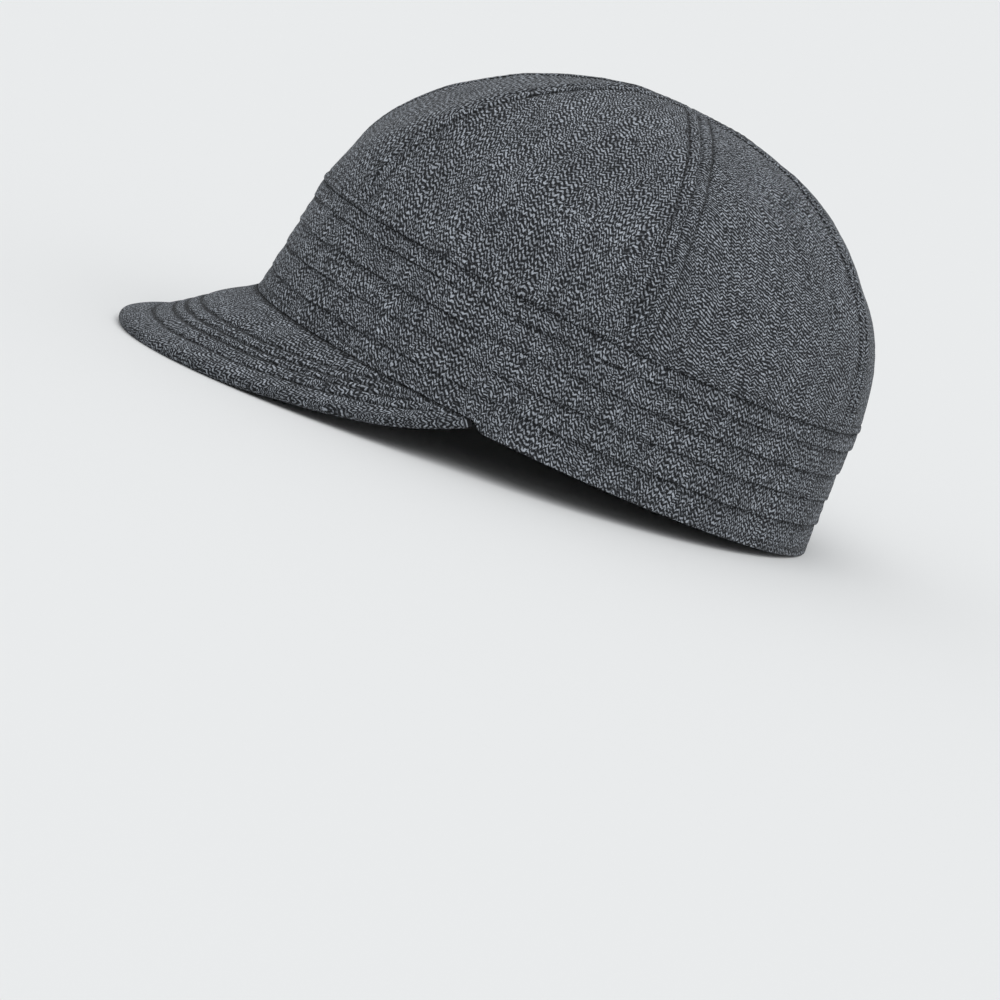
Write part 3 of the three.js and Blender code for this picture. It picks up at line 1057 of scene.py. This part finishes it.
def peakCloth(root, outer, brink):  # places on the flat cloth; from the row brink on it goes round the edge
    level, down = math.cos(peak["slope"]), math.sin(peak["slope"])
    squareToSlope = toPoints(root[:, 0], root[:, 1] * down, 0)[:, None]
    across = lengthsAlong(squareToSlope, 0)
    run = lengthsAlong(outer, 1)
    start = (root[:, 1] * level + root[:, 2] * down)[:, None]
    cloth = np.stack([across + 0 * run, start - run], axis=-1)
    alongEdge = np.gradient(cloth[:, brink], axis=0)
    outwards = np.stack([alongEdge[:, 1], -alongEdge[:, 0]], axis=-1)
    outwards /= np.linalg.norm(outwards, axis=-1, keepdims=True)
    beyond = (run[:, brink:] - run[:, brink:brink + 1])[..., None]
    cloth[:, brink:] = cloth[:, brink:brink + 1] + outwards[:, None] * beyond
    return cloth * peak["weaveScale"]


def makePeak():
    evenly = np.linspace(0, 1, peak["columns"] + 1)
    turns = np.sin((evenly - 0.5) * math.pi) * (peak["halfSpan"] - peak["endGap"])
    reach = peakReach(turns)
    shares = np.concatenate([
        np.linspace(0, 0.3, 14),
        np.linspace(0.3, 0.8, 64)[1:],
        np.linspace(0.8, peak["edgeShare"], 14)[1:],
    ])
    bend = np.linspace(0, 1, 10)[1:] * math.pi / 2  # round the edge, from the top to its middle
    turn = turns[:, None]
    edgeShares = peak["edgeShare"] + (1 - peak["edgeShare"]) * np.sin(bend)
    share = np.concatenate([shares, edgeShares])[None, :] + 0 * turn
    depth = np.concatenate([0 * shares, peak["edgeDepth"] * (1 - np.cos(bend))])[None, :] + 0 * turn
    lines, relief = peakRelief(turn, share, reach[:, None])
    flat = 1 - np.clip(depth / peak["edgeDepth"], 0, 1)
    waves = peakWaves(turn, share)
    top = peakPoint(turn, share, depth, relief * flat + waves)
    under = peakPoint(turn, share, 1 - depth, waves - peak["underRelief"] * relief * flat)
    tabTop = ovalPoint(turn, peak["tab"], peak["rootTop"])
    tabUnder = ovalPoint(turn, peak["tab"], peak["rootTop"] - peak["wall"])
    outer = np.concatenate([tabTop, top], axis=1)
    inner = np.concatenate([tabUnder, under], axis=1)
    fromRoot = share * reach[:, None]
    # painted shade along the stitch grooves, towards the down-turned edge, at the root and on the tab under
    # the band
    edgeShade = peak["edgeShade"] * smoothStep(share, 0.93, 1)
    rootShade = 1 - smoothStep(fromRoot, 0.6, 1.6)
    shaded = np.maximum(np.maximum(lines * smoothStep(fromRoot, 1, 5), edgeShade), rootShade)
    crease = np.concatenate([np.ones_like(turn), shaded], axis=1)
    cloth = peakCloth(tabTop[:, 0], outer, len(shares))
    sheet = addSheet("peak_cloth", outer[:, ::-1], cloth[:, ::-1])  # turned round, so that it faces up
    joinCoincident(sheet)
    leftShare = peak["leftShare"]
    thicken(sheet, peak["wall"], inner[:, ::-1], crease[:, ::-1], leftShare, peak["leftLean"])
    finishPiece(sheet, herringboneCloth, "herringbone_cloth", "peak")

    rows = []
    outOfTop = np.array([0, -math.sin(peak["slope"]), math.cos(peak["slope"])]) * stitching["lift"]
    for inset in peak["stitchInsets"]:
        shown = reach > inset + 1.5
        rowTurns = turns[shown]
        rowShares = 1 - inset / reach[shown]
        rowRelief = peakRelief(rowTurns, rowShares, reach[shown])[1]
        rowWaves = peakWaves(rowTurns, rowShares)
        topPath = peakPoint(rowTurns, rowShares, 0.0, rowRelief + rowWaves)
        underPath = peakPoint(rowTurns, rowShares, 1.0, rowWaves - peak["underRelief"] * rowRelief)
        rows += [stitchRow(topPath, outOfTop), stitchRow(underPath, -outOfTop)]
    return rows


sewTogether("peak_stitches", makePeak())
print("peak made")


# Floor, light and camera
studio = {
    "floorColour": (0.815, 0.822, 0.822, 1),
    "floorRoughness": 0.9,
    "floorSpecular": 0.1,
    "floorSize": 24,
    "skyStrength": 0.67,
    "skyColour": (0.97, 0.985, 1.0, 1),
    "sunStrength": 1.22,
    "sunSpread": math.radians(75),
    "sunPlace": (0.5, 0.04, 1.2),
}
shot = {
    "target": Vector((0, 0, 0.055)),
    "azimuth": math.radians(77.41),
    "elevation": math.radians(7.31),
    "roll": math.radians(19.75),
    "distance": 1.75,
    "focal": 5255.55,  # in pixels of the photograph
    "targetPixel": (524.32, 282.03),
    "imageSize": 1000,
    "sensor": 36,
}


def makeFloor():
    deselectAll()
    bpy.ops.mesh.primitive_plane_add(size=studio["floorSize"])
    floor = bpy.context.object
    floor.name = "studio_floor"
    material = bpy.data.materials.new("studioPaper")
    material.use_nodes = True
    shader = material.node_tree.nodes["Principled BSDF"]
    shader.inputs["Base Color"].default_value = studio["floorColour"]
    shader.inputs["Roughness"].default_value = studio["floorRoughness"]
    shader.inputs["Specular IOR Level"].default_value = studio["floorSpecular"]
    floor.data.materials.append(material)


def addSoftSun():  # a very wide sun lights the cap and the whole floor evenly
    bpy.ops.object.light_add(type="SUN", location=studio["sunPlace"])
    sun = bpy.context.object
    sun.name = "softSun"
    sun.data.energy = studio["sunStrength"]
    sun.data.angle = studio["sunSpread"]
    sun.rotation_euler = (-Vector(studio["sunPlace"])).to_track_quat("-Z", "Y").to_euler()


def addSky():
    world = bpy.data.worlds.new("studioSky")
    world.use_nodes = True
    background = world.node_tree.nodes["Background"]
    background.inputs["Color"].default_value = studio["skyColour"]
    background.inputs["Strength"].default_value = studio["skyStrength"]
    bpy.context.scene.world = world
    bpy.context.scene.view_settings.view_transform = "Standard"


def makeCamera():
    azimuth, elevation, roll = shot["azimuth"], shot["elevation"], shot["roll"]
    away = Vector((
        math.sin(azimuth) * math.cos(elevation),
        -math.cos(azimuth) * math.cos(elevation),
        math.sin(elevation),
    ))
    level = Vector((math.cos(azimuth), math.sin(azimuth), 0))
    upright = away.cross(level)
    right = math.cos(roll) * level + math.sin(roll) * upright
    up = -math.sin(roll) * level + math.cos(roll) * upright
    place = shot["target"] + away * shot["distance"]
    pixel = shot["distance"] / shot["focal"]
    half = shot["imageSize"] / 2
    aim = shot["target"] - right * (shot["targetPixel"][0] - half) * pixel
    aim -= up * (half - shot["targetPixel"][1]) * pixel
    back = (place - aim).normalized()
    right = (right - back * right.dot(back)).normalized()
    up = back.cross(right)
    bpy.ops.object.camera_add()
    camera = bpy.context.object
    camera.data.sensor_width = shot["sensor"]
    camera.data.lens = shot["focal"] / shot["imageSize"] * shot["sensor"]
    camera.matrix_world = Matrix.Translation(place) @ Matrix((right, up, back)).transposed().to_4x4()
    bpy.context.scene.camera = camera


makeFloor()
addSoftSun()
addSky()
makeCamera()
print("studio made")
